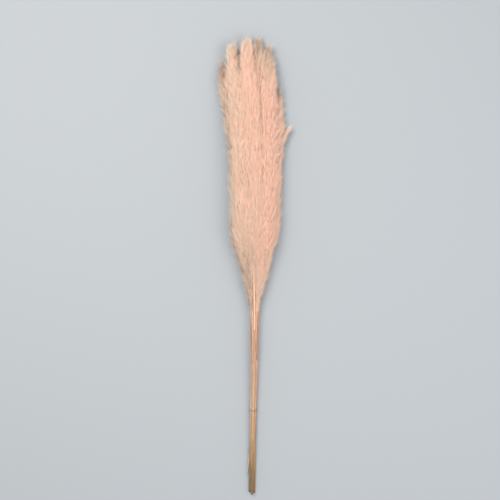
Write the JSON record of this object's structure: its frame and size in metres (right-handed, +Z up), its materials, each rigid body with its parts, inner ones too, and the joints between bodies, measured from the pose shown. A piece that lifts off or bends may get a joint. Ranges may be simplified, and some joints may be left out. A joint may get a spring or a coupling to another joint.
{
  "type": "bundle of pampas grass",
  "caption": "Dried, peach-dyed pampas grass stalks with long silky plumes, bound with a thin wire near the cut ends and lying flat.",
  "frame": {"origin": "on the surface that the bunch lies on, under the middle of its box", "axes": "+Y along the bunch, from the cut ends to the plume tips; +Z up from the surface; +X across, towards the side branch"},
  "size_m": [0.1704, 1.098, 0.0674],
  "materials": {
    "plume": "matte",
    "stem": "satin",
    "sheath": "matte",
    "wire": "satin"
  },
  "bodies": {
    "root": {"stem_1": "stem", "stem_2": "stem", "stem_3": "stem", "stem_4": "stem", "stem_5": "stem", "stem_6": "stem", "plume_1": "plume", "plume_2": "plume", "plume_3": "plume", "plume_4": "plume", "plume_5": "plume", "plume_6": "plume", "sheath_left": "sheath", "sheath_right": "sheath", "sheath_front": "sheath", "sheath_peel": "sheath", "tie_wire": "wire"}
  },
  "joints": []
}
